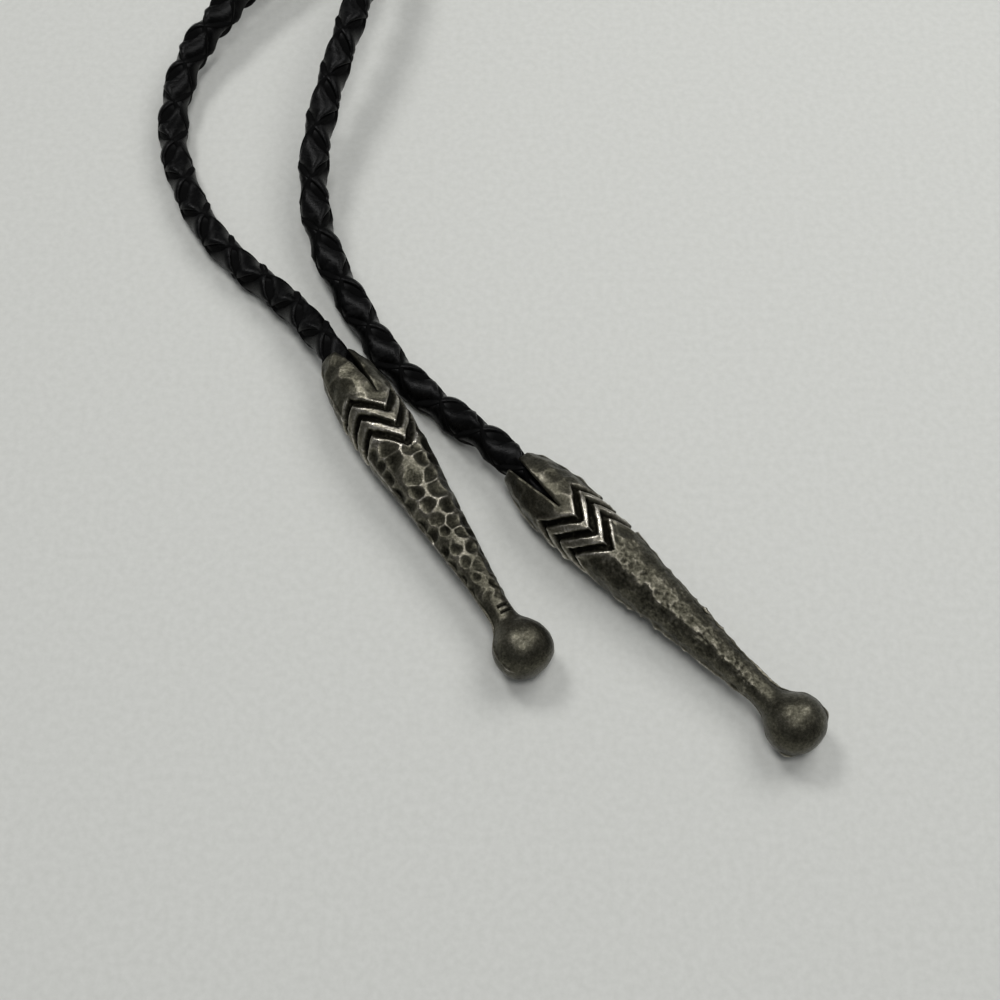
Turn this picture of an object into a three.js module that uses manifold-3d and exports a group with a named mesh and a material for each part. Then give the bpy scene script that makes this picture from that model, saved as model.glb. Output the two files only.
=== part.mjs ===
// Bolo tie: one braided leather cord with a cast pewter tip on each end, held by an oval slide.
// The tie lies on a flat surface at z = 0. Origin: centre of the slide's flat back.
// +Y runs from the tips to the back of the neck loop, +X to the right, +Z up. Millimetres.

import * as THREE from 'three';
import { mergeVertices } from 'three/addons/utils/BufferGeometryUtils.js';
import Module from 'manifold-3d';

const wasm = await Module();
wasm.setup();

// ---- driving dimensions ----

const GAP = 0.3; // between pieces that touch

const CORD_DIAMETER = 5;
const CORD_SIDES = 10;
const CORD_STEP = 2.5 * CORD_DIAMETER;

const TIP = {
  length: 60,
  facets: 32, // a multiple of 8, so that every zigzag corner falls on a facet edge
  boreRadius: CORD_DIAMETER / 2 + GAP,
  boreDepth: 10.8,
  slitWidth: 2.2,
  slitLength: 10.5,
};

// Outer form of a tip, by distance from the mouth. It swells, tapers to a neck and flares into a ball.
const SHOULDER = [
  { along: 0, radius: 3.15 },
  { along: 1.6, radius: 3.75 },
  { along: 4, radius: 4.35 },
  { along: 6.6, radius: 4.7 },
];
const WIDEST = { along: 13, radius: 4.95 };
const TAPER = [
  { along: 21.6, radius: 4.45 },
  { along: 25.5, radius: 4 },
  { along: 33.5, radius: 3.2 },
  { along: 41, radius: 2.5 },
  { along: 46.8, radius: 2 },
  { along: 50, radius: 1.95 },
  { along: 51.4, radius: 2.2 },
  { along: 52.2, radius: 2.8 },
];
const BALL = { radius: 4.45, rings: 6, neckAngle: 130 }; // the angle from its end to where the neck joins

// Three zigzag grooves round the swell, their corners pointing to the ball in line with the slits.
const GROOVE = {
  firstAlong: 11.9,
  pitch: 3.05,
  count: 3,
  width: 1.3,
  floorWidth: 0.7,
  depth: 0.55,
  swing: 2.15,
  corners: 4,
};

// Where each tip lies: the middle of its mouth, its heading on the surface from +X, and how far it is
// turned about its own axis from slit up.
const TIP_PLACES = {
  left: { mouth: [-5.2, -128.2], heading: -59.4, turn: 20 },
  right: { mouth: [22.7, -147.1], heading: -46.5, turn: -23 },
};

const SLIDE = { halfWidth: 14, halfLength: 18, rim: 2.2, ledge: 1, height: 8.6, domeRings: 7, facets: 40 };
const CHANNEL = { offset: 4, height: 4, radius: CORD_DIAMETER / 2 + GAP };

// Routes of the cord's centreline, from the middle of the slide outwards.
const TAIL_ROUTES = {
  left: [
    [-4, -GAP / 2, 4],
    [-4, -9, 4],
    [-4, -18, 4],
    [-4.8, -25, 4.5],
    [-8, -32, 5.6],
    [-13, -38.8, 6.5],
    [-18.5, -45, 7],
    [-23, -50, 6.9],
    [-26.5, -54.5, 6.6],
    [-28.7, -58.2, 6.2],
    [-31.4, -62.2, 5.5],
    [-33.7, -67.2, 4.6],
    [-34.9, -71.7, 3.9],
    [-35.4, -76.4, 3.3],
    [-35.3, -81.3, 2.9],
    [-34.6, -85.6, 2.7],
    [-33.4, -89.4, 2.6],
    [-31.8, -93.5, 2.6],
    [-29.7, -98, 2.6],
    [-27.2, -102, 2.6],
    [-24.4, -105.6, 2.6],
    [-20.6, -109.6, 2.6],
    [-16.4, -113.5, 2.8],
    [-12.3, -117.8, 3.5],
    [-8.9, -122.4, 4.6],
  ],
  right: [
    [4, -GAP / 2, 4],
    [4, -9, 4],
    [4, -18, 4],
    [3.8, -26, 5.1],
    [2.5, -34.5, 7.6],
    [0.6, -43, 10.2],
    [-1.4, -50.5, 11.8],
    [-3.4, -57.5, 12.4],
    [-5.5, -65.5, 11.7],
    [-7.4, -72.6, 10.4],
    [-9, -79.4, 9],
    [-10.2, -86.1, 7.8],
    [-10.6, -91.9, 6.8],
    [-10.3, -97.8, 5.8],
    [-9.1, -103.5, 4.9],
    [-7.5, -108, 4.2],
    [-5.2, -112.9, 3.5],
    [-2.4, -118, 3],
    [1.2, -124.2, 2.7],
    [5.4, -129.8, 2.6],
    [9.3, -133.8, 2.7],
    [13.4, -137.8, 3.4],
    [17.8, -142, 4.7],
  ],
};

// Right half of the neck loop, from the slide to the back of the neck; the left half mirrors it.
const LOOP_HALF = [
  [4, GAP / 2, 4],
  [4, 9, 4],
  [4, 18, 4],
  [4.8, 26, 3.6],
  [8.2, 38, 2.8],
  [16, 55, 2.6],
  [28, 75, 2.6],
  [44, 98, 2.6],
  [59, 124, 2.6],
  [69, 153, 2.6],
  [72, 185, 2.6],
  [66, 215, 2.6],
  [50, 239.5, 2.6],
  [27, 254.5, 2.6],
];
const LOOP_BACK = [0, 260, 2.6];

// ---- materials ----

const leather = (color) => new THREE.MeshStandardMaterial({ color, roughness: 0.55, metalness: 0 });
const pewter = (color) => new THREE.MeshStandardMaterial({ color, roughness: 0.42, metalness: 1 });

// ---- helpers ----

const point = (coordinates) => new THREE.Vector3(...coordinates);

// A closed geometry as a solid that can be cut.
function solid(geometry) {
  const bare = geometry.clone();
  bare.deleteAttribute('normal');
  bare.deleteAttribute('uv');
  const merged = mergeVertices(bare, 1e-4);
  return new wasm.Manifold(new wasm.Mesh({
    numProp: 3,
    vertProperties: new Float32Array(merged.attributes.position.array),
    triVerts: new Uint32Array(merged.index.array),
  }));
}

function geometryOf(manifold) {
  const { vertProperties, triVerts } = manifold.getMesh();
  const geometry = new THREE.BufferGeometry();
  geometry.setAttribute('position', new THREE.BufferAttribute(vertProperties, 3));
  geometry.setIndex(new THREE.BufferAttribute(triVerts, 1));
  geometry.computeVertexNormals();
  return geometry;
}

function cut(geometry, ...cutters) {
  return geometryOf(cutters.reduce((rest, cutter) => rest.subtract(solid(cutter)), solid(geometry)));
}

function piece(name, geometry, material) {
  const mesh = new THREE.Mesh(geometry, material);
  mesh.name = name;
  return mesh;
}

// ---- tips ----

// A tip's own axes: along from mouth to ball, front through the slit, and side. The tip lies on its
// swell and its ball, so its axis slopes a little.
function tipAxes({ heading, turn }) {
  const ballAlong = TIP.length - BALL.radius;
  const slope = Math.atan((WIDEST.radius - BALL.radius) / (ballAlong - WIDEST.along));
  const angle = THREE.MathUtils.degToRad(heading);
  const along = new THREE.Vector3(
    Math.cos(angle) * Math.cos(slope),
    Math.sin(angle) * Math.cos(slope),
    -Math.sin(slope),
  );
  const level = new THREE.Vector3(0, 0, 1).cross(along).normalize();
  const up = along.clone().cross(level);
  const turned = THREE.MathUtils.degToRad(turn);
  const front = up.multiplyScalar(Math.cos(turned)).addScaledVector(level, Math.sin(turned));
  return { along, front, side: along.clone().cross(front) };
}

function tipMouth(place) {
  const { along } = tipAxes(place);
  return new THREE.Vector3(...place.mouth, WIDEST.radius - along.z * WIDEST.along);
}

// Radius of the plain form at a distance from the mouth, by straight steps between the listed rings.
function bodyRadius(along) {
  const rings = [...SHOULDER, WIDEST, ...TAPER];
  const after = rings.findIndex((ring) => ring.along >= along);
  if (after <= 0) return rings[0].radius;
  const a = rings[after - 1];
  const b = rings[after];
  return THREE.MathUtils.mapLinear(along, a.along, b.along, a.radius, b.radius);
}

function grooveRings() {
  const rings = [];
  for (let i = 0; i < GROOVE.count; i += 1) {
    const middle = GROOVE.firstAlong + i * GROOVE.pitch;
    for (const [offset, depth] of [
      [-GROOVE.width / 2, 0],
      [-GROOVE.floorWidth / 2, GROOVE.depth],
      [GROOVE.floorWidth / 2, GROOVE.depth],
      [GROOVE.width / 2, 0],
    ]) {
      rings.push({ along: middle + offset, radius: bodyRadius(middle + offset) - depth, grooved: true });
    }
  }
  return rings;
}

// 1 at the corners in line with the slits, -1 halfway between them.
function zigzag(angle) {
  const turn = (angle * GROOVE.corners) / (2 * Math.PI);
  return 1 - 4 * Math.abs(turn - Math.round(turn));
}

function ballRings() {
  const rings = [];
  for (let i = BALL.rings; i > 0; i -= 1) {
    const angle = THREE.MathUtils.degToRad((BALL.neckAngle * i) / BALL.rings);
    rings.push({
      along: TIP.length - BALL.radius * (1 - Math.cos(angle)),
      radius: BALL.radius * Math.sin(angle),
    });
  }
  return rings;
}

function tipGeometry() {
  const rings = [
    { along: TIP.boreDepth, radius: 0 },
    { along: TIP.boreDepth, radius: TIP.boreRadius },
    { along: 0, radius: TIP.boreRadius },
    ...SHOULDER,
    ...grooveRings(),
    ...TAPER,
    ...ballRings(),
    { along: TIP.length, radius: 0 },
  ];
  const profile = rings.map(({ along, radius }) => new THREE.Vector2(radius, along));
  const geometry = new THREE.LatheGeometry(profile, TIP.facets);
  const position = geometry.attributes.position;
  for (let column = 0; column <= TIP.facets; column += 1) {
    const angle = (column / TIP.facets) * 2 * Math.PI;
    rings.forEach((ring, row) => {
      if (ring.grooved) {
        const shifted = ring.along + GROOVE.swing * zigzag(angle);
        const radius = ring.radius + bodyRadius(shifted) - bodyRadius(ring.along);
        const index = column * rings.length + row;
        position.setXYZ(index, radius * Math.sin(angle), shifted, radius * Math.cos(angle));
      }
    });
  }
  return cut(geometry, slitCutter());
}

// A long wedge through both walls of the socket, widest at the mouth.
function slitCutter() {
  const mouth = -0.5;
  const half = (TIP.slitWidth / 2) * (1 - mouth / TIP.slitLength);
  const wedge = new THREE.Shape([
    new THREE.Vector2(-half, mouth),
    new THREE.Vector2(half, mouth),
    new THREE.Vector2(0, TIP.slitLength),
  ]);
  const through = 2 * WIDEST.radius + 2;
  const geometry = new THREE.ExtrudeGeometry(wedge, { depth: through, bevelEnabled: false });
  return geometry.translate(0, 0, -through / 2);
}

function tip(name, place) {
  const { along, front, side } = tipAxes(place);
  const mesh = piece(name, tipGeometry(), pewter(0x6e675a));
  mesh.quaternion.setFromRotationMatrix(new THREE.Matrix4().makeBasis(side, along, front));
  mesh.position.copy(tipMouth(place));
  return mesh;
}

// ---- cord ----

function cord(name, route) {
  const section = new THREE.Shape();
  section.absarc(0, 0, CORD_DIAMETER / 2, 0, 2 * Math.PI); // an arc has two points to a curve segment
  const path = new THREE.CatmullRomCurve3(route, false, 'centripetal');
  const geometry = new THREE.ExtrudeGeometry(section, {
    steps: Math.round(path.getLength() / CORD_STEP),
    curveSegments: CORD_SIDES / 2,
    extrudePath: path,
  });
  return piece(name, geometryOf(solid(geometry)), leather(0x0e0e0f));
}

// The listed route, then straight into the tip's socket.
function tailRoute(side) {
  const place = TIP_PLACES[side];
  const mouth = tipMouth(place);
  const { along } = tipAxes(place);
  const inside = [-3, 0, TIP.boreDepth - GAP].map((far) => mouth.clone().addScaledVector(along, far));
  return [...TAIL_ROUTES[side].map(point), ...inside];
}

function loopRoute() {
  const right = LOOP_HALF.map(point);
  const left = LOOP_HALF.map(([x, y, z]) => new THREE.Vector3(-x, y, z)).reverse();
  return [...right, point(LOOP_BACK), ...left];
}

// ---- slide ----

function slide() {
  const dome = [
    new THREE.Vector2(0, 0),
    new THREE.Vector2(SLIDE.halfLength, 0),
    new THREE.Vector2(SLIDE.halfLength, SLIDE.rim),
  ];
  for (let i = 0; i < SLIDE.domeRings; i += 1) {
    const angle = ((i / SLIDE.domeRings) * Math.PI) / 2;
    dome.push(new THREE.Vector2(
      (SLIDE.halfLength - SLIDE.ledge) * Math.cos(angle),
      SLIDE.rim + (SLIDE.height - SLIDE.rim) * Math.sin(angle),
    ));
  }
  dome.push(new THREE.Vector2(0, SLIDE.height));
  const body = new THREE.LatheGeometry(dome, SLIDE.facets)
    .rotateX(Math.PI / 2)
    .scale(SLIDE.halfWidth / SLIDE.halfLength, 1, 1);
  const channels = [-CHANNEL.offset, CHANNEL.offset].map((x) => (
    new THREE.CylinderGeometry(CHANNEL.radius, CHANNEL.radius, 2 * SLIDE.halfLength + 2, 20)
      .translate(x, 0, CHANNEL.height)
  ));
  return piece('slide', cut(body, ...channels), pewter(0x7a7468));
}

// ---- the tie ----

const tie = new THREE.Group();
tie.add(slide());
for (const side of ['left', 'right']) {
  tie.add(tip(`tip_${side}`, TIP_PLACES[side]));
  tie.add(cord(`cord_tail_${side}`, tailRoute(side)));
}
tie.add(cord('cord_neck', loopRoute()));

export default tie;
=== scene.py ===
"""Bolo tie: four-strand braided leather cord, two cast pewter tips and an oval slide, on a pale floor.

Metres, in the CAD's frame: the origin is the centre of the slide's flat back, +Y runs from the tips
to the neck loop and +Z is up. Sizes below are in millimetres, unless a comment says otherwise.
"""

import itertools
import math

import bmesh
import bpy
import numpy as np
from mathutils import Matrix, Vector


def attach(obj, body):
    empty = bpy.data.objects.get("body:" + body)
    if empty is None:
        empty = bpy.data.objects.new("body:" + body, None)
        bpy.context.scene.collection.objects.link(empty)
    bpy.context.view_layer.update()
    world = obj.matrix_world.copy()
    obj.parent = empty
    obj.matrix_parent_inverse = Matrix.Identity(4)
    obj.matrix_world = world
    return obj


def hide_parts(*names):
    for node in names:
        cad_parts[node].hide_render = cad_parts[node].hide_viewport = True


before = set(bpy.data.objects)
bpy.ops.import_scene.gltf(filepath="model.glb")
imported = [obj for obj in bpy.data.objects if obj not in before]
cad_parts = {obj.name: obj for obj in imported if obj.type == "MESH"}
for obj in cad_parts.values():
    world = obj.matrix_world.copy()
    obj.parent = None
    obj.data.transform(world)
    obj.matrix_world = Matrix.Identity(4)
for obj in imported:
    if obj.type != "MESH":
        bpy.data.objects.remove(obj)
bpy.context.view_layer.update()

MM = 0.001
TAU = 2 * math.pi
UP = np.array([0.0, 0.0, 1.0])

# ---- sizes that repeat the CAD's ----

GAP = 0.3
SOCKET_DEPTH = 10.8

TAIL_ROUTES = {
    "left": [
        (-4, -0.15, 4), (-4, -9, 4), (-4, -18, 4), (-4.8, -25, 4.5), (-8, -32, 5.6),
        (-13, -38.8, 6.5), (-18.5, -45, 7), (-23, -50, 6.9), (-26.5, -54.5, 6.6),
        (-28.7, -58.2, 6.2), (-31.4, -62.2, 5.5), (-33.7, -67.2, 4.6), (-34.9, -71.7, 3.9),
        (-35.4, -76.4, 3.3), (-35.3, -81.3, 2.9), (-34.6, -85.6, 2.7), (-33.4, -89.4, 2.6),
        (-31.8, -93.5, 2.6), (-29.7, -98, 2.6), (-27.2, -102, 2.6), (-24.4, -105.6, 2.6),
        (-20.6, -109.6, 2.6), (-16.4, -113.5, 2.8), (-12.3, -117.8, 3.5), (-8.9, -122.4, 4.6),
    ],
    "right": [
        (4, -0.15, 4), (4, -9, 4), (4, -18, 4), (3.8, -26, 5.1), (2.5, -34.5, 7.6),
        (0.6, -43, 10.2), (-1.4, -50.5, 11.8), (-3.4, -57.5, 12.4), (-5.5, -65.5, 11.7),
        (-7.4, -72.6, 10.4), (-9, -79.4, 9), (-10.2, -86.1, 7.8), (-10.6, -91.9, 6.8),
        (-10.3, -97.8, 5.8), (-9.1, -103.5, 4.9), (-7.5, -108, 4.2), (-5.2, -112.9, 3.5),
        (-2.4, -118, 3), (1.2, -124.2, 2.7), (5.4, -129.8, 2.6), (9.3, -133.8, 2.7),
        (13.4, -137.8, 3.4), (17.8, -142, 4.7),
    ],
}
LOOP_HALF = [
    (4, 0.15, 4), (4, 9, 4), (4, 18, 4), (4.8, 26, 3.6), (8.2, 38, 2.8), (16, 55, 2.6),
    (28, 75, 2.6), (44, 98, 2.6), (59, 124, 2.6), (69, 153, 2.6), (72, 185, 2.6),
    (66, 215, 2.6), (50, 239.5, 2.6), (27, 254.5, 2.6),
]
LOOP_BACK = (0, 260, 2.6)

# Where each tip's mouth is, which way the tip points on the floor and how far it is turned about
# its own axis, in degrees.
TIP_PLACES = {
    "left": {"mouth": (-5.2, -128.2), "heading": -59.4, "turn": 20},
    "right": {"mouth": (22.7, -147.1), "heading": -46.5, "turn": -23},
}
TIP_LENGTH = 60.0
WIDEST_ALONG = 13.0
WIDEST_RADIUS = 4.95
BALL_RADIUS = 4.45

# ---- camera ----

LOOK_AT = np.array([20.0, -150.0, 0.0])
CAMERA_ELEVATION = math.radians(62)
CAMERA_DISTANCE = 258.0
CAMERA_LENS = 61.2
SENSOR_WIDTH = 36
NEAREST_SEEN = 10


def add_camera():
    data = bpy.data.cameras.new("camera")
    data.lens = CAMERA_LENS
    data.sensor_width = SENSOR_WIDTH
    data.clip_start = NEAREST_SEEN * MM
    camera = bpy.data.objects.new("camera", data)
    bpy.context.scene.collection.objects.link(camera)
    back = Vector((0, -math.cos(CAMERA_ELEVATION), math.sin(CAMERA_ELEVATION)))
    camera.location = Vector(LOOK_AT * MM) + back * CAMERA_DISTANCE * MM
    camera.rotation_euler = back.to_track_quat("Z", "Y").to_euler()
    bpy.context.scene.camera = camera


# ---- helpers ----

# Steps from one point of a curve to the next, as a column.
SPAN = np.linspace(0, 1, 40, endpoint=False)[:, None]


def unit(v):
    return v / np.linalg.norm(v, axis=-1, keepdims=True)


def smooth(x):
    """0 below 0, 1 above 1, and a soft step between."""
    x = np.clip(x, 0, 1)
    return x * x * (3 - 2 * x)


def ridge(away, width):
    """1 at no distance away, falling off softly over width."""
    return np.exp(-((away / width) ** 2))


def distances(points):
    """How far each point is from the first, along the line through them."""
    return np.r_[0, np.cumsum(np.linalg.norm(np.diff(points, axis=0), axis=1))]


def scattered(cell, seed):
    """A value between -1 and 1 for each whole-numbered cell, always the same for that cell and seed."""
    x, y, z = np.moveaxis(cell, -1, 0)
    mixed = x * 73856093 ^ y * 19349663 ^ z * 83492791 ^ seed * 2654435761
    for shift, factor in ((15, 2246822519), (13, 3266489917)):
        mixed = (mixed ^ (mixed >> shift)) * factor & 0xFFFFFFFF
    return (mixed >> 8 & 0xFFFF) / 32767.5 - 1


def noise(points, size, seed):
    """Smooth noise between -1 and 1 over points, with bumps about size across."""
    q = np.asarray(points, float) / size + 1000
    cell = np.floor(q).astype(np.int64)
    inside = smooth(q - cell)
    total = np.zeros(q.shape[:-1])
    for corner in itertools.product((0, 1), repeat=3):
        weight = np.prod(np.where(corner, inside, 1 - inside), axis=-1)
        total += scattered(cell + corner, seed) * weight
    return total


def spline(points, step):
    """Centripetal Catmull-Rom curve through points, as points step apart, and their distances."""
    p = np.asarray(points, float)
    p = np.vstack([2 * p[0] - p[1], p, 2 * p[-1] - p[-2]])
    dense = []
    for a, b, c, d in zip(p, p[1:], p[2:], p[3:]):
        ab, bc, cd = (math.sqrt(np.linalg.norm(v)) for v in (b - a, c - b, d - c))
        start = ((b - a) / ab - (c - a) / (ab + bc) + (c - b) / bc) * bc
        end = ((c - b) / bc - (d - b) / (bc + cd) + (d - c) / cd) * bc
        dense.append(
            b * (2 * SPAN**3 - 3 * SPAN**2 + 1)
            + start * (SPAN**3 - 2 * SPAN**2 + SPAN)
            + c * (3 * SPAN**2 - 2 * SPAN**3)
            + end * (SPAN**3 - SPAN**2)
        )
    dense = np.vstack([*dense, p[-2][None]])
    run = distances(dense)
    along = np.linspace(0, run[-1], int(round(run[-1] / step)) + 1)
    return np.stack([np.interp(along, run, column) for column in dense.T], axis=1), along


def compacted(faces):
    """The numbers of the vertices that faces use, and the faces renumbered to those alone."""
    used = np.unique([i for face in faces for i in face])
    place = {int(vertex): i for i, vertex in enumerate(used)}
    return used, [[place[int(vertex)] for vertex in face] for face in faces]


def make_object(name, verts, faces, attributes, material):
    """A smooth-shaded mesh from millimetres and the attributes its material reads."""
    mesh = bpy.data.meshes.new(name)
    mesh.from_pydata((np.asarray(verts) * MM).tolist(), [], [list(map(int, f)) for f in faces])
    for key, values in attributes.items():
        values = np.asarray(values, np.float32)
        if values.ndim == 1:
            mesh.attributes.new(key, "FLOAT", "POINT").data.foreach_set("value", values)
        else:
            layer = mesh.attributes.new(key, "FLOAT_VECTOR", "POINT")
            layer.data.foreach_set("vector", values.ravel())
    bm = bmesh.new()
    bm.from_mesh(mesh)
    bmesh.ops.recalc_face_normals(bm, faces=bm.faces)
    bm.to_mesh(mesh)
    bm.free()
    mesh.shade_smooth()
    mesh.materials.append(material)
    thing = bpy.data.objects.new(name, mesh)
    bpy.context.scene.collection.objects.link(thing)
    return thing


# ---- materials ----


class Nodes:
    """Short names for building a node tree."""

    def __init__(self, name):
        self.material = bpy.data.materials.new(name)
        self.material.use_nodes = True
        self.tree = self.material.node_tree
        self.shader = self.tree.nodes["Principled BSDF"]

    def add(self, kind, inputs=None, **settings):
        node = self.tree.nodes.new("ShaderNode" + kind)
        for key, value in settings.items():
            setattr(node, key, value)
        for key, value in (inputs or {}).items():
            self.set(node.inputs[key], value)
        return node

    def set(self, socket, value):
        if isinstance(value, bpy.types.NodeSocket):
            self.tree.links.new(value, socket)
        else:
            socket.default_value = value

    def ramp(self, fac, stops):
        node = self.add("ValToRGB", {"Fac": fac})
        elements = node.color_ramp.elements
        while len(elements) < len(stops):
            elements.new(0.5)
        for element, (position, colour) in zip(elements, stops):
            element.position = position
            element.color = (*colour, 1) if isinstance(colour, tuple) else (colour, colour, colour, 1)
        return node.outputs["Color"]

    def math(self, operation, a, b):
        return self.add("Math", {0: a, 1: b}, operation=operation).outputs[0]

    def weighted(self, a, share_a, b, share_b):
        return self.math("ADD", self.math("MULTIPLY", a, share_a), self.math("MULTIPLY", b, share_b))

    def noise(self, scale, detail, vector, roughness=0.55):
        inputs = {"Scale": scale, "Detail": detail, "Roughness": roughness, "Vector": vector}
        return self.add("TexNoise", inputs).outputs["Fac"]

    def attribute(self, name, output="Fac"):
        return self.add("Attribute", attribute_name=name).outputs[output]

    def mix(self, fac, a, b):
        node = self.add("Mix", data_type="RGBA")
        self.set(node.inputs[0], fac)
        self.set(node.inputs[6], a)
        self.set(node.inputs[7], b)
        return node.outputs[2]

    def bump(self, height, strength, distance):
        inputs = {"Height": height, "Strength": strength, "Distance": distance * MM}
        return self.add("Bump", inputs).outputs["Normal"]

    def shade(self, **inputs):
        for key, value in inputs.items():
            self.set(self.shader.inputs[key.replace("_", " ")], value)


def grey(value):
    return (value, value, value, 1)


def pewter_material():
    """Antiqued cast metal: near-black in recesses, brownish grey on faces, bright on worn ridges."""
    n = Nodes("antiqued_pewter")
    where = n.add("TexCoord").outputs["Object"]
    speckle = n.noise(2600, 5, where, 0.75)
    cloud = n.noise(330, 3, where)
    grain = n.math("MULTIPLY", n.math("SUBTRACT", speckle, 0.5), 0.9)
    stain = n.math("MULTIPLY", n.math("SUBTRACT", cloud, 0.5), 0.5)
    level = n.math("ADD", n.math("ADD", n.attribute("relief"), grain), stain)
    colour = n.ramp(level, [
        (0.02, (0.006, 0.0055, 0.004)),
        (0.28, (0.038, 0.036, 0.026)),
        (0.5, (0.092, 0.087, 0.065)),
        (0.75, (0.22, 0.205, 0.165)),
        (1.0, (0.60, 0.57, 0.50)),
    ])
    rough = n.ramp(level, [(0.0, 0.75), (0.35, 0.42), (0.7, 0.33), (1.0, 0.26)])
    n.shade(Base_Color=colour, Roughness=rough, Metallic=1.0, Normal=n.bump(speckle, 0.45, 0.08))
    return n.material


def leather_material():
    """Black lace leather: a creased face with a soft gloss, dull and darkened by painted shade where a
    lace dives under.
    """
    # The third colour is painted shade: near-black laid where a lace dives under the others.
    black, scuffed, painted_crevice_shade, dull = (grey(value) for value in (0.0012, 0.009, 0.0002, 0.85))
    cut_edge = (0.006, 0.0058, 0.0056, 1)
    n = Nodes("black_leather")
    lace = n.attribute("lace", "Vector")
    buried_shade = n.attribute("buried_shade")
    stretched = n.add("Mapping", {"Vector": lace, "Scale": (0.35, 1.0, 1.0)}).outputs["Vector"]
    crease = n.noise(1500, 4, stretched, 0.65)
    grain = n.noise(5200, 3, lace, 0.6)
    scuff = n.noise(420, 4, lace, 0.7)
    worn = n.ramp(n.math("MULTIPLY", scuff, n.math("ADD", crease, 0.42)), [(0.44, 0.0), (0.66, 1.0)])
    face = n.mix(worn, black, scuffed)
    seen = n.mix(n.math("MULTIPLY", n.attribute("edge"), 0.3), face, cut_edge)
    gloss = n.ramp(n.weighted(crease, 0.5, grain, 0.5), [(0.3, 0.22), (0.7, 0.38)])
    normal = n.bump(n.weighted(crease, 1.0, grain, 0.35), 0.75, 0.12)
    # Painted shade: where a lace dives under, the colour goes to the near-black shade and the gloss goes
    # dull.
    n.shade(Base_Color=n.mix(buried_shade, seen, painted_crevice_shade), Roughness=n.mix(buried_shade, gloss, dull), Normal=normal)
    n.shade(Specular_IOR_Level=0.1)
    return n.material


def floor_material():
    n = Nodes("pale_board")
    fleck = n.noise(900, 3, n.add("TexCoord").outputs["Object"])
    colour = n.ramp(fleck, [(0.3, (0.60, 0.605, 0.57)), (0.7, (0.65, 0.655, 0.62))])
    n.shade(Base_Color=colour, Roughness=0.75)
    return n.material


# ---- braided cord ----

STRANDS = 4
LACE_WIDTH = 5.2
LACE_THICKNESS = 1.1
LACE_SIDES = 16
# Power of the section's corners: at 1 it is an ellipse, and near 0 a rectangle.
LACE_CORNERS = 0.34
# From the cord's centre to a lace's middle, halfway between over and under, and how far it weaves
# out and in from there.
MIDDLE_RADIUS = 1.26
WEAVE_DEPTH = 0.72
WEAVE_DRIFT = 0.05
WIDTH_DRIFT = 0.05
# How abruptly a lace rises and dives, how much later it dives than it rises, how much further one
# edge is in the weave than the middle, and how steeply a lace on top leans towards the tip.
STEEP = 1.3
LATE_DIVE = 0.12
TILT = 0.1
LEAN = 0.32
# Curvature across a lace over and under the others.
OVER_CURVE = 1 / 2.4
UNDER_CURVE = 1 / 9.0
# The share of the half width where the cut edge begins, and where in the weave a lace lies under the
# others and the leather paints shade on it.
EDGE_START = 0.9
BURIED_BELOW = 0.6
BURIED_FADE = 0.85
PATH_SPACING = 1.0


def lace_section():
    """Round-cornered flat section of one lace as (across, up) points, up facing out of the cord."""
    angle = (np.arange(LACE_SIDES) + 0.5) * TAU / LACE_SIDES
    sides = []
    for size, wave in ((LACE_WIDTH, np.cos(angle)), (LACE_THICKNESS, np.sin(angle))):
        sides.append(0.5 * size * np.sign(wave) * np.abs(wave) ** LACE_CORNERS)
    return zip(*sides)


def lift(turns, hand):
    """Where a lace is in the weave, from -1 under the others to 1 over them."""
    step = np.tanh(STEEP * np.cos(turns)) / math.tanh(STEEP)
    return hand * (step + LATE_DIVE * np.sin(turns))


def beside(values, *constants):
    """Rows of one of the values and then the constants."""
    return np.stack([values, *(0 * values + constant for constant in constants)], axis=1)


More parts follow.
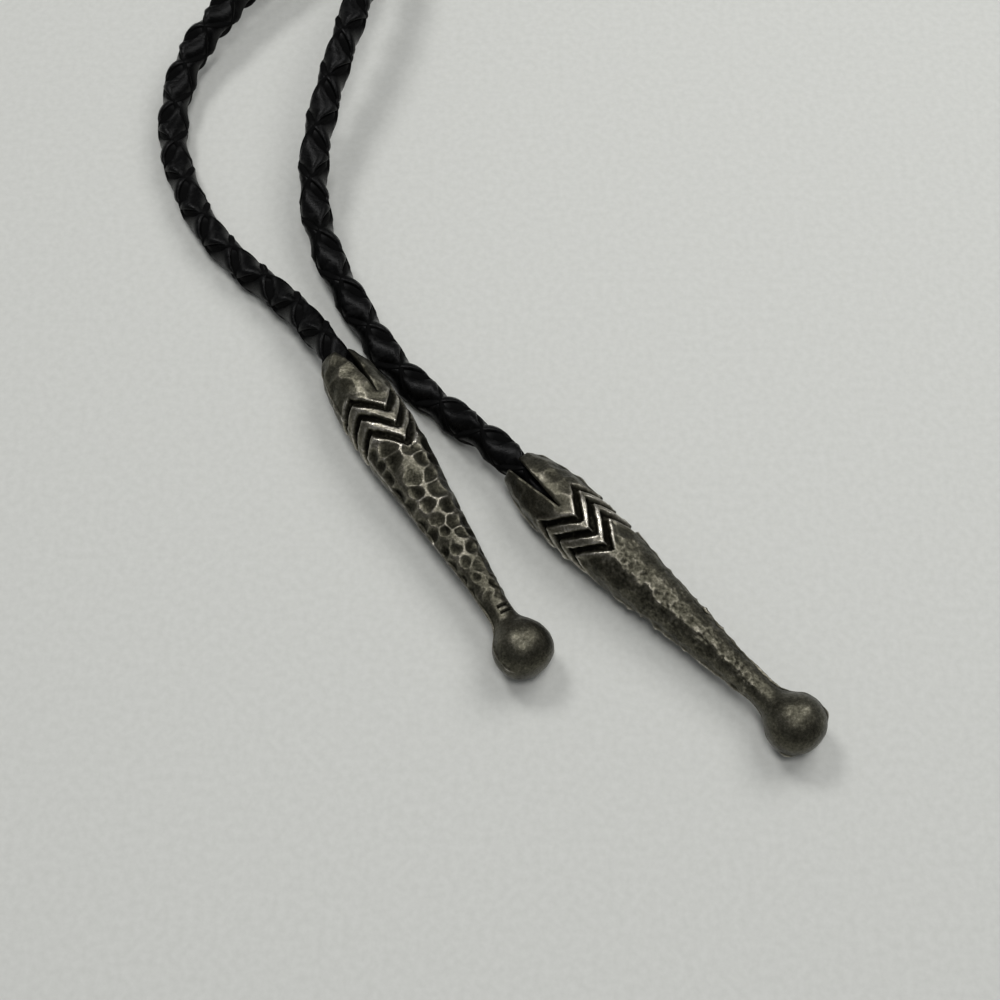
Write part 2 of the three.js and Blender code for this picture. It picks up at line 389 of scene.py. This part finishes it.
def lace(strand, centre, along, axes, phase, roll, size):
    """One lace, as lines of points along each corner of its section, and the values that the leather reads
    there: place on the lace, nearness to its cut edge, and how far it lies under the others, which the
    leather uses as the mask of its painted shade."""
    forward, up, side = axes
    hand = 1 if strand < STRANDS / 2 else -1
    angle = np.radians(roll) + hand * phase + (strand % 2) * math.pi
    weave = lift(2 * phase, hand)
    drift = WEAVE_DRIFT * noise(beside(along, 0, 31 * strand), 11, strand)
    radius = size * (MIDDLE_RADIUS + WEAVE_DEPTH * weave + drift)
    out = np.cos(angle)[:, None] * up + np.sin(angle)[:, None] * side
    turn = -np.sin(angle)[:, None] * up + np.cos(angle)[:, None] * side
    middle = centre + radius[:, None] * out
    across = unit(np.cross(unit(np.gradient(middle, axis=0)), out))
    part_forward = np.sum(across * forward, axis=1)
    part_turn = np.sum(across * turn, axis=1)
    on_top = np.clip((weave + 1) / 2, 0, 1)
    curve = (UNDER_CURVE + (OVER_CURVE - UNDER_CURVE) * on_top) / size
    width = size * (1 + WIDTH_DRIFT * noise(beside(along, 7, strand), 6, 9))
    run = distances(middle)

    lines, places, edges, buried_shade = [], [], [], []
    for section_across, section_up in lace_section():
        u = section_across * width
        v = section_up * size
        bend = u * part_turn * curve
        tilted = lift(2 * phase + hand * TILT * u * part_turn / size, hand)
        rise = size * WEAVE_DEPTH * (tilted - weave) - (1 - np.cos(bend)) / curve
        rise = rise + LEAN * np.clip(weave, 0, 1) * u * part_forward
        lines.append(
            middle
            + (u * part_forward)[:, None] * forward
            + (np.sin(bend) / curve)[:, None] * turn
            + rise[:, None] * out
            + v[:, None] * (np.cos(bend)[:, None] * out + np.sin(bend)[:, None] * turn)
        )
        off_middle = abs(section_across) / (0.5 * LACE_WIDTH)
        places.append(np.stack([u, run, 0 * run + 40 * strand], axis=1) * MM)
        edges.append(0 * run + smooth((off_middle - EDGE_START) / (1 - EDGE_START)))
        # Mask of painted shade: how far this line of the lace lies under the others.
        buried_shade.append(smooth((BURIED_BELOW - tilted) / BURIED_FADE))
    return np.vstack(lines), np.vstack(places), np.concatenate(edges), np.concatenate(buried_shade)


def braid(name, route, step, pitch, roll, size, material):
    """Flat laces braided round the route: the object, the route's path and its length. pitch, roll
    (degrees) and size are lists of (distance along the route, value); size scales the whole section.
    The laces lie over each other like scales, with their lifted edges towards the route's end."""
    centre, along = spline(route, step)
    forward = unit(np.gradient(centre, axis=0))
    up = unit(UP - (forward @ UP)[:, None] * forward)
    axes = forward, up, np.cross(forward, up)
    pitch, roll, size = (np.interp(along, *np.transpose(pairs)) for pairs in (pitch, roll, size))
    phase = np.r_[0, np.cumsum(np.diff(along) * TAU / pitch[1:])]
    laces = [lace(strand, centre, along, axes, phase, roll, size) for strand in range(STRANDS)]
    verts, places, edges, buried_shade = (np.concatenate(values) for values in zip(*laces))

    faces = []
    for grid in np.arange(len(verts)).reshape(STRANDS, LACE_SIDES, len(along)):
        following = np.roll(grid, -1, axis=0)
        quads = np.stack([grid[:, :-1], grid[:, 1:], following[:, 1:], following[:, :-1]], axis=-1)
        faces.extend(quads.reshape(-1, 4).tolist())
        faces.append(grid[:, 0].tolist())
        faces.append(grid[::-1, -1].tolist())
    # The last mark is the mask where the leather paints shade on the laces.
    marks = {"lace": places, "edge": edges, "buried_shade": buried_shade}
    piece = make_object(name, verts, faces, marks, material)
    every = max(1, int(round(PATH_SPACING / step)))
    return piece, centre[::every], along[-1]


# ---- cast tips ----

# Distance from the mouth and radius, from the mouth over the swell and down to the ball's end.
OUTLINE = [
    (0, 2.9), (1.5, 3.5), (3, 4.0), (5.2, 4.45), (7.5, 4.7), (11.2, 4.93), (15, 4.93), (18.7, 4.72),
    (22.4, 4.35), (26, 4.0), (29.9, 3.6), (33.6, 3.2), (37.3, 2.85), (41, 2.5), (44.8, 2.2),
    (47, 2.05), (49.3, 1.96), (51, 2.12), (52.1, 2.65), (53.1, 3.4), (54.4, 4.15), (56, 4.46),
    (57.6, 4.15), (58.8, 3.35), (59.7, 1.95), (60.0, 0),
]
TIP_RINGS = 430
HALF_COLUMNS = 92
POINTED_RADIUS = 2.0

SLIT_WIDTH = 2.2
SLIT_LENGTH = 10.5
BORE_RADIUS = 2.6
BORE_DEPTH = 10.9
BORE_TONE = 0.05
# Depth and width of the worn edges along the slits and round the mouth.
SLIT_WEAR = (0.16, 0.35)
MOUTH_WEAR = (0.10, 0.4)

# The dimpled face reaches this far round to each side, in radians.
FRONT_REACH = 1.72
FRONT_FADE = 0.25
MARK_WARP = 0.42

GROOVE_FIRST = 11.9
GROOVE_PITCH = 3.05
GROOVE_COUNT = 3
GROOVE_DEPTH = 0.62
GROOVE_HALF_WIDTH = 0.72
GROOVE_WALL = 0.46
GROOVE_CLEAR = 0.9
RIM_HEIGHT = 0.06
RIM_AWAY = 0.95
RIM_WIDTH = 0.3

# Corners of each casting's zigzag grooves: (angle round the casting, offset along it). The slits are
# at 0 and 180 degrees.
GROOVE_CORNERS = {
    "left": [
        (0, 2.1), (4, 2.2), (55, -2.1), (120, 1.1), (160, -2), (200, 2), (245, -2), (280, 1.6),
        (313, -2.1), (360, 2.1),
    ],
    "right": [
        (0, 2), (45, -2), (90, 1.9), (132, -2.2), (172, 2.1), (230, -2.1), (275, 1.9), (318, -2),
        (360, 2),
    ],
}

# Staggered rows of hammer marks: between which distances from the mouth, how many rows round the
# casting, the pitch along a row and how far a mark strays.
SHOULDER_MARKS = {"start": 0.3, "end": 13, "rows": 10, "pitch": 2.9, "stray": 0.9, "seed": 5}
FRONT_MARKS = {"start": 18.5, "end": 49, "rows": 9, "pitch": 2.7, "stray": 0.7, "seed": 8}
BACK_MARKS = {"start": 17, "end": 52, "rows": 11, "pitch": 2.6, "stray": 0.9, "seed": 3}
DENT_DEPTH = 0.19
DENT_RADIUS = 1.7
DIMPLE_DEPTH = 0.33
CREST_HEIGHT = 0.05
CREST_WIDTH = 0.3
BEATEN_DEPTH = 0.12
BEATEN_RADIUS = 1.5
PLANE_DEPTH = 0.30
PIT_DEPTH = 0.10

NICKS = (49.2, 50.2)
NICK_DEPTH = 0.26
NICK_HALF_WIDTH = 0.28
NICK_WALL = 0.25
NICK_REACH = 0.62
FIN_HEIGHT = 0.2
FIN_WIDTH = 0.18
CREASE_ALONG = 57.2
CREASE_DEPTH = 0.07
CREASE_WIDTH = 0.7


def tip_axes(place, extra_turn=0):
    """The mouth's centre and the tip's own axes: to its side, along it and towards its front."""
    slope = math.atan((WIDEST_RADIUS - BALL_RADIUS) / (TIP_LENGTH - BALL_RADIUS - WIDEST_ALONG))
    heading = math.radians(place["heading"])
    forward = np.array([
        math.cos(heading) * math.cos(slope),
        math.sin(heading) * math.cos(slope),
        -math.sin(slope),
    ])
    level = unit(np.cross(UP, forward))
    up = np.cross(forward, level)
    turn = math.radians(place["turn"] + extra_turn)
    front = up * math.cos(turn) + level * math.sin(turn)
    mouth = np.array([*place["mouth"], WIDEST_RADIUS - forward[2] * WIDEST_ALONG])
    return mouth, np.cross(forward, front), forward, front


def outline_rings():
    """Rings evenly spaced along the outline: distance from the mouth, radius and outward normal."""
    points = np.array(OUTLINE, float)
    before = 2 * points[0] - points[1]
    after = points[-2] * [1, -1]
    p = np.vstack([before, points, after])
    dense = []
    for a, b, c, d in zip(p, p[1:], p[2:], p[3:]):
        square = (2 * a - 5 * b + 4 * c - d) * SPAN**2
        cube = (3 * b - a - 3 * c + d) * SPAN**3
        dense.append(0.5 * (2 * b + (c - a) * SPAN + square + cube))
    dense = np.vstack([*dense, points[-1][None]])
    run = distances(dense)
    even = np.linspace(0, run[-1], TIP_RINGS + 1)
    along, radius = (np.interp(even, run, dense[:, i]) for i in (0, 1))
    slope = unit(np.stack([np.gradient(along), np.gradient(radius)], axis=1))
    return along, radius, -slope[:, 1], slope[:, 0]


def hammer_marks(start, end, rows, pitch, stray, seed):
    """Marks in staggered rows round the casting, as (distance from the mouth, angle, size)."""
    rng = np.random.default_rng(seed)
    marks = []
    for row in range(rows):
        position = start + (row % 2) * pitch / 2
        while position < end:
            marks.append((
                position + rng.uniform(-stray, stray),
                TAU * row / rows + rng.uniform(-stray, stray) / 5,
                rng.uniform(0.85, 1.2),
            ))
            position += pitch
    return marks


def zigzag(angle, corners):
    degrees, offsets = np.transpose(corners)
    return np.interp(np.degrees(angle) % 360, degrees, offsets)


class Surface:
    """Points of a casting's plain surface and what the parts of its relief share. Angle 0 is the
    middle of the dimpled face."""

    def __init__(self, along, angle, radius, corners):
        self.along = along
        self.angle = angle
        self.radius = radius
        self.position = np.stack([radius * np.sin(angle), along, radius * np.cos(angle)], axis=-1)
        self.off_front = np.abs((angle + math.pi) % TAU - math.pi)
        border = FRONT_REACH + self.bumps(0.22, 6, 15)
        self.front = smooth((border - self.off_front) / FRONT_FADE)
        self.deep = 1 + self.bumps(0.35, 3.3, 17)
        self.warped_along = along + self.bumps(MARK_WARP, 2.0, 31)
        self.warped_angle = angle + self.bumps(MARK_WARP, 2.0, 32) / np.maximum(radius, 1)
        self.swing = zigzag(angle, corners)
        turned = 0.02
        climb = zigzag(angle + turned, corners) - zigzag(angle - turned, corners)
        self.square_on = 1 / np.sqrt(1 + (climb / (2 * turned * radius + 0.001)) ** 2)
        last_groove = GROOVE_FIRST + (GROOVE_COUNT - 1) * GROOVE_PITCH
        self.before_grooves = GROOVE_FIRST + self.swing - GROOVE_CLEAR - along
        self.after_grooves = along - (last_groove + self.swing + GROOVE_CLEAR)

    def bumps(self, height, size, seed):
        return height * noise(self.position, size, seed)

    def from_marks(self, marks):
        """Distance over the surface to the nearest and second nearest of the hammer marks."""
        first = np.full(self.along.shape, 99.0)
        second = np.full(self.along.shape, 99.0)
        for mark_along, mark_angle, size in hammer_marks(**marks):
            around = (self.warped_angle - mark_angle + math.pi) % TAU - math.pi
            distance = np.hypot(self.warped_along - mark_along, around * self.radius) / size
            second = np.minimum(second, np.maximum(first, distance))
            first = np.minimum(first, distance)
        return first, second


def shoulder_dents(s):
    """Hammered dents from the mouth to the grooves."""
    first, _ = s.from_marks(SHOULDER_MARKS)
    dents = DENT_DEPTH * np.minimum((first / DENT_RADIUS) ** 2, 1) - 0.12 + s.bumps(0.07, 1.4, 19)
    return dents * smooth(s.before_grooves / 0.8)


def front_dimples(s):
    """Rows of dimples with thin crests between them, growing smaller with the taper."""
    first, second = s.from_marks(FRONT_MARKS)
    reach = np.clip(0.29 * s.radius + 0.14, 0.65, 1.35)
    dimples = DIMPLE_DEPTH * (np.minimum(first / reach, 1.1) ** 2 - 0.7) * reach / 1.2
    crests = CREST_HEIGHT * ridge(second - first, CREST_WIDTH)
    ends = smooth(s.after_grooves / 0.6) * smooth((48.6 - s.along) / 2)
    return (dimples + crests) * s.deep * s.front * ends


def beaten_back(s):
    """Two beaten faces that meet in a worn, pitted ridge."""
    from_ridge = s.angle % TAU - math.pi + s.bumps(0.16, 5.5, 13) + s.bumps(0.10, 1.9, 14)
    square = 1 / (np.abs(np.cos(from_ridge)) + np.abs(np.sin(from_ridge)))
    planes = s.radius * PLANE_DEPTH * (np.minimum(square, 0.95) - 0.88)
    first, _ = s.from_marks(BACK_MARKS)
    beaten = BEATEN_DEPTH * s.deep * (np.minimum((first / BEATEN_RADIUS) ** 2, 1) - 0.55)
    near_ridge = smooth((0.75 - np.abs(from_ridge)) / 0.5)
    pits = PIT_DEPTH * (s.bumps(1, 0.55, 6) + s.bumps(0.6, 0.34, 7)) * (0.35 + 0.65 * near_ridge)
    ends = smooth(s.after_grooves / 1.5) * smooth((50.5 - s.along) / 3)
    return (planes + beaten + pits) * (1 - s.front) * ends


def zigzag_grooves(s):
    """Square grooves with rough, raised rims."""
    height = 0
    for i in range(GROOVE_COUNT):
        middle = GROOVE_FIRST + i * GROOVE_PITCH + s.swing + s.bumps(0.14, 2.6, 40 + i)
        away = np.abs(s.along - middle) * s.square_on + s.bumps(0.09, 0.7, 20 + i)
        rim = RIM_HEIGHT * (0.6 + s.bumps(1, 1.5, 50 + i)) * ridge(away - RIM_AWAY, RIM_WIDTH)
        height = height - GROOVE_DEPTH * smooth((GROOVE_HALF_WIDTH - away) / GROOVE_WALL) + rim
    return height


def neck_nicks(s):
    """Short cuts across the front of the neck, above the ball."""
    height = 0
    for nick in NICKS:
        upper = smooth((s.along - nick + NICK_HALF_WIDTH) / NICK_WALL)
        lower = smooth((nick + NICK_HALF_WIDTH - s.along) / NICK_WALL)
        height = height - NICK_DEPTH * upper * lower * smooth((NICK_REACH - s.off_front) / 0.2)
    return height


def mould_seam(s):
    """Uneven fin down both sides, where the halves of the mould met."""
    away = np.abs(s.off_front - math.pi / 2) * s.radius + s.bumps(0.10, 1.7, 11)
    fin = FIN_HEIGHT + s.bumps(0.2, 1.7, 12)
    return fin * ridge(away, FIN_WIDTH) * smooth((59.2 - s.along) / 1.5) * smooth(s.along / 2)


def ball_crease(s):
    """Soft crease round the back of the ball's end."""
    away = s.along - CREASE_ALONG - s.bumps(0.5, 3.5, 18)
    return -CREASE_DEPTH * ridge(away, CREASE_WIDTH) * (1 - s.front)


def tip_relief(along, angle, radius, corners):
    """Height of the casting's surface over its plain outline."""
    s = Surface(along, angle, radius, corners)
    height = s.bumps(0.06, 3.1, 1) + s.bumps(0.03, 1.1, 2) + s.bumps(0.018, 0.45, 3)
    parts = shoulder_dents, front_dimples, beaten_back, zigzag_grooves, neck_nicks, mould_seam, ball_crease
    return height + sum(part(s) for part in parts)


def blurred(field, reach):
    """Running mean over the grid, which closes on itself round the second axis."""
    out = field
    for axis, closes in ((0, False), (1, True)):
        pad = [(reach, reach) if a == axis else (0, 0) for a in (0, 1)]
        padded = np.pad(out, pad, mode="wrap" if closes else "edge")
        total = np.cumsum(np.insert(padded, 0, 0, axis=axis), axis=axis)
        size = 2 * reach + 1
        upper = np.take(total, range(size, total.shape[axis]), axis=axis)
        lower = np.take(total, range(total.shape[axis] - size), axis=axis)
        out = (upper - lower) / size
    return out


def half_rings(radius, opening):
    """Angles round the two halves of each ring, which stand back from both slits by the opening."""
    gap = np.arcsin(np.clip(opening / np.maximum(radius, 0.01), 0, 0.9))[:, None]
    half = gap + (math.pi - 2 * gap) * np.linspace(0, 1, HALF_COLUMNS + 1)[None]
    return np.hstack([half, half + math.pi])


def tip_faces(outer, inner, closed):
    """Faces between the grids of the outside and of the bore, which are slit as far as ring closed."""
    halves = (0, HALF_COLUMNS + 1)
    for grid in (outer, inner):
        grid[closed:, HALF_COLUMNS + 1] = grid[closed:, HALF_COLUMNS]
        grid[closed:, -1] = grid[closed:, 0]
    point = outer[-1, 0]
    faces = []
    for grid in (outer[:-1], inner[:, ::-1]):
        for start in halves:
            part = grid[:, start:start + HALF_COLUMNS + 1]
            quads = np.stack([part[:-1, :-1], part[1:, :-1], part[1:, 1:], part[:-1, 1:]], axis=-1)
            faces.extend(quads.reshape(-1, 4).tolist())
    for start in halves:
        for j in range(start, start + HALF_COLUMNS):
            faces.append([outer[-2, j], point, outer[-2, j + 1]])
            faces.append([outer[0, j], outer[0, j + 1], inner[0, j + 1], inner[0, j]])
        for j in (start, start + HALF_COLUMNS):
            for i in range(closed):
                faces.append([outer[i, j], inner[i, j], inner[i + 1, j], outer[i + 1, j]])
    faces.append([i for start in halves for i in inner[-1, start:start + HALF_COLUMNS]])
    return faces


def tip(name, place, extra_turn, corners, material):
    mouth, side, forward, front = tip_axes(place, extra_turn)
    along, radius, normal_along, normal_out = outline_rings()
    slit = 0.5 * SLIT_WIDTH * np.clip(1 - along / SLIT_LENGTH, 0, None)
    angle = half_rings(radius, slit)
    ring_along = np.broadcast_to(along[:, None], angle.shape)
    ring_radius = np.broadcast_to(radius[:, None], angle.shape)
    shape = tip_relief(ring_along, angle, ring_radius, corners)
    shape = shape * smooth(radius / POINTED_RADIUS)[:, None]

    share = np.linspace(0, 1, HALF_COLUMNS + 1)
    from_slit = np.tile(np.minimum(share, 1 - share) * math.pi, 2) * ring_radius
    slit_depth, slit_wear = SLIT_WEAR
    mouth_depth, mouth_wear = MOUTH_WEAR
    height = shape - slit_depth * smooth((slit_wear - from_slit) / slit_wear) * (slit > 0)[:, None]
    height = height - mouth_depth * smooth((mouth_wear - ring_along) / mouth_wear)

    bore_rings = int(np.searchsorted(along, BORE_DEPTH)) + 1
    bore_angle = half_rings(np.full(bore_rings, BORE_RADIUS), slit[:bore_rings])
    bore_along = np.broadcast_to(along[:bore_rings, None], bore_angle.shape)

    def placed(a, t, r):
        local = np.stack([r * np.sin(t), a, r * np.cos(t)], axis=-1)
        return (mouth + local @ np.stack([side, forward, front])).reshape(-1, 3)

    out_along = ring_along + normal_along[:, None] * height
    out_radius = ring_radius + normal_out[:, None] * height
    verts = np.vstack([
        placed(out_along, angle, out_radius),
        placed(bore_along, bore_angle, np.full(bore_angle.shape, BORE_RADIUS)),
    ])
    outer = np.arange(angle.size).reshape(angle.shape)
    inner = angle.size + np.arange(bore_angle.size).reshape(bore_angle.shape)
    used, faces = compacted(tip_faces(outer, inner, int(np.searchsorted(along, SLIT_LENGTH))))

    fine = shape - blurred(shape, 3)
    broad = shape - blurred(shape, 12)
    relief = np.clip(0.43 + 1.5 * fine + 0.75 * broad, 0, 1)
    relief = np.r_[relief.ravel(), np.full(bore_angle.size, BORE_TONE)]
    return make_object(name, verts[used], faces, {"relief": relief[used]}, material)


# ---- slide ----

SLIDE_HALF_WIDTH = 14.0
SLIDE_HALF_LENGTH = 18.0
SLIDE_RIM = 2.2
SLIDE_LEDGE = 1.0
SLIDE_HEIGHT = 8.6
SLIDE_COLUMNS = 180
DOME_STEPS = 56
DOME_MARKS = 150
DOME_MARK_RADIUS = 1.8
DOME_MARK_DEPTH = 0.12
CHANNEL_OFFSET = 4.0
CHANNEL_HEIGHT = 4.0
CHANNEL_RADIUS = 2.8
CUTTER_SIDES = 48
CUTTER_PAST = 2.0


def slide_outline():
    """Half section along the slide as (reach, height) points, from its back over its rim to its top."""
    edge = SLIDE_HALF_LENGTH
    ledge = edge - SLIDE_LEDGE
    points = [(0, 0), (edge - 4, 0), (edge - 0.4, 0), (edge - 0.1, 0.12), (edge, 0.4)]
    points += [(edge, SLIDE_RIM - 0.45), (edge - 0.12, SLIDE_RIM - 0.12), (edge - 0.42, SLIDE_RIM)]
    points += [(ledge + 0.12, SLIDE_RIM - 0.05), (ledge - 0.08, SLIDE_RIM - 0.3)]
    foot = SLIDE_RIM - 0.2
    for a in np.linspace(0, math.pi / 2, DOME_STEPS + 1)[1:]:
        points.append(((ledge - 0.2) * math.cos(a), foot + (SLIDE_HEIGHT - foot) * math.sin(a)))
    return np.array(points)


def slide(name, material):
    reach, height = slide_outline().T[:, :, None]
    angle = np.arange(SLIDE_COLUMNS) * TAU / SLIDE_COLUMNS
    x = reach * np.cos(angle) * SLIDE_HALF_WIDTH / SLIDE_HALF_LENGTH
    y = reach * np.sin(angle)
    z = height + 0 * angle

    rng = np.random.default_rng(12)
    near = np.full(x.shape, 99.0)
    for _ in range(DOME_MARKS):
        spot = rng.uniform(-1, 1, 2) * (SLIDE_HALF_WIDTH, SLIDE_HALF_LENGTH)
        near = np.minimum(near, np.hypot(x - spot[0], y - spot[1]))
    hammered = DOME_MARK_DEPTH * np.minimum((near / DOME_MARK_RADIUS) ** 2, 1) - 0.1
    fine = 0.02 * noise(np.stack([x, y, 0 * z], axis=-1), 1.1, 4)
    beaten = hammered * smooth((z - SLIDE_RIM - 0.1) / 0.6) + fine * (z > 0)
    z = np.maximum(z + beaten, 0)
    z[-1] = z[-1].mean()

    index = np.arange(x.size).reshape(x.shape)
    following = np.roll(index, -1, axis=1)
    quads = np.stack([index[1:-2], following[1:-2], following[2:-1], index[2:-1]], axis=-1)
    faces = quads.reshape(-1, 4).tolist()
    faces.append(index[1][::-1].tolist())
    faces.extend([[a, b, index[-1, 0]] for a, b in zip(index[-2], following[-2])])
    used, faces = compacted(faces)

    relief = 0.5 + 2.2 * (beaten - blurred(beaten, 3)) + 0.9 * (beaten + 0.04)
    relief = relief - 0.35 * ridge(reach - (SLIDE_HALF_LENGTH - SLIDE_LEDGE - 0.15), 0.35) * (z > 1)
    relief = relief + 0.22 * ridge(reach - (SLIDE_HALF_LENGTH - 0.4), 0.4) * (z > 1.5)
    relief = np.clip(relief.ravel()[used], 0, 1)
    verts = np.stack([x, y, z], axis=-1).reshape(-1, 3)[used]
    piece = make_object(name, verts, faces, {"relief": relief}, material)
    for offset in (-CHANNEL_OFFSET, CHANNEL_OFFSET):
        cut_channel(piece, offset, material)
    return piece


def cut_channel(piece, offset, material):
    """Cuts the hole for one cord through the piece, along Y."""
    angle = np.arange(CUTTER_SIDES) * TAU / CUTTER_SIDES
    x = offset + CHANNEL_RADIUS * np.cos(angle)
    z = CHANNEL_HEIGHT + CHANNEL_RADIUS * np.sin(angle)
    end = SLIDE_HALF_LENGTH + CUTTER_PAST
    verts = np.vstack([np.stack([x, 0 * angle + y, z], axis=1) for y in (-end, end)])
    near, far = np.arange(2 * CUTTER_SIDES).reshape(2, CUTTER_SIDES)
    faces = np.stack([near, np.roll(near, -1), np.roll(far, -1), far], axis=1).tolist()
    cutter = make_object("cutter", verts, [*faces, near, far[::-1]], {}, material)
    cut = piece.modifiers.new("channel", "BOOLEAN")
    cut.operation = "DIFFERENCE"
    cut.solver = "EXACT"
    cut.object = cutter
    graph = bpy.context.evaluated_depsgraph_get()
    mesh = bpy.data.meshes.new_from_object(piece.evaluated_get(graph))
    piece.modifiers.clear()
    piece.data = mesh
    bpy.data.objects.remove(cutter)


# ---- floor and lights ----

FLOOR_CELLS = 8
FLOOR_HALF_SIZE = 1500

# Each light's direction from the middle of the view, and its distance, size (both in metres) and
# power in watts.
LIGHTS = {
    "lamp": {"direction": (-0.37, 0.46, 0.81), "distance": 1.0, "size": 0.3, "power": 2.8},
    "window": {"direction": (0.42, 0.42, 0.8), "distance": 0.5, "size": 0.32, "power": 0.86},
    "overhead": {"direction": (0.03, -0.22, 0.975), "distance": 0.8, "size": 0.24, "power": 1.6},
}
SKY_COLOUR = (0.95, 0.97, 1, 1)
SKY_STRENGTH = 0.2


def add_floor():
    bm = bmesh.new()
    bmesh.ops.create_grid(bm, x_segments=FLOOR_CELLS, y_segments=FLOOR_CELLS, size=FLOOR_HALF_SIZE * MM)
    mesh = bpy.data.meshes.new("floor")
    bm.to_mesh(mesh)
    bm.free()
    mesh.materials.append(floor_material())
    floor = bpy.data.objects.new("floor", mesh)
    bpy.context.scene.collection.objects.link(floor)


def add_light(name, direction, distance, size, power):
    data = bpy.data.lights.new(name, "AREA")
    data.shape = "DISK"
    data.size = size
    data.energy = power
    light = bpy.data.objects.new(name, data)
    bpy.context.scene.collection.objects.link(light)
    toward = Vector(direction).normalized()
    light.location = Vector(LOOK_AT * MM) + toward * distance
    light.rotation_euler = toward.to_track_quat("Z", "Y").to_euler()


def add_sky():
    world = bpy.data.worlds.new("world")
    world.use_nodes = True
    background = world.node_tree.nodes["Background"]
    background.inputs["Color"].default_value = SKY_COLOUR
    background.inputs["Strength"].default_value = SKY_STRENGTH
    bpy.context.scene.world = world
    bpy.context.scene.view_settings.view_transform = "Standard"


# ---- the tie ----

TAIL_STEP = 0.35
LOOP_STEP = 0.6

# Each stretch's pitch, roll in degrees and size, as (distance along it, value).
TAIL_STYLES = {
    "left": {
        "pitch": [(0, 15.6), (60, 15.6), (90, 16.6), (156, 16.4)],
        "roll": [(0, 80), (160, 80)],
        "size": [(0, 0.98), (60, 1.0), (85, 0.95), (140, 0.97), (146, 0.92), (150, 0.86)],
    },
    "right": {
        "pitch": [(0, 16.2), (40, 16.2), (60, 17.2), (85, 19), (110, 19.4), (170, 17.6)],
        "roll": [(0, 10), (170, 10)],
        "size": [(0, 1.0), (50, 1.0), (75, 0.99), (150, 0.96), (160, 0.92), (164, 0.86)],
    },
}
LOOP_STYLE = {
    "pitch": [(0, 16), (640, 16)],
    "roll": [(0, 30), (640, 30)],
    "size": [(0, 0.95), (640, 0.95)],
}


def tail_route(which):
    mouth, _, forward, _ = tip_axes(TIP_PLACES[which])
    inside = [tuple(mouth + forward * far) for far in (-3, 0, SOCKET_DEPTH - GAP)]
    return [*TAIL_ROUTES[which], *inside]


def loop_route():
    left = [(-x, y, z) for x, y, z in reversed(LOOP_HALF)]
    return [*LOOP_HALF, LOOP_BACK, *left]


def place(piece, node, finish):
    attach(piece, "root")
    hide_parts(node)


add_camera()
leather = leather_material()
pewter = pewter_material()

for which, exit_x in (("left", -CHANNEL_OFFSET), ("right", CHANNEL_OFFSET)):
    tail, path, length = braid(
        f"braided_tail_{which}", tail_route(which), TAIL_STEP, material=leather, **TAIL_STYLES[which]
    )
    place(tail, f"cord_tail_{which}", "leather")

neck, _, _ = braid("braided_neck_loop", loop_route(), LOOP_STEP, material=leather, **LOOP_STYLE)
place(neck, "cord_neck", "leather")

for which, extra_turn in (("left", 0), ("right", 180)):
    cast = tip(f"cast_tip_{which}", TIP_PLACES[which], extra_turn, GROOVE_CORNERS[which], pewter)
    place(cast, f"tip_{which}", "pewter")

place(slide("domed_slide", pewter), "slide", "pewter")

add_floor()
for name, settings in LIGHTS.items():
    add_light(name, **settings)
add_sky()
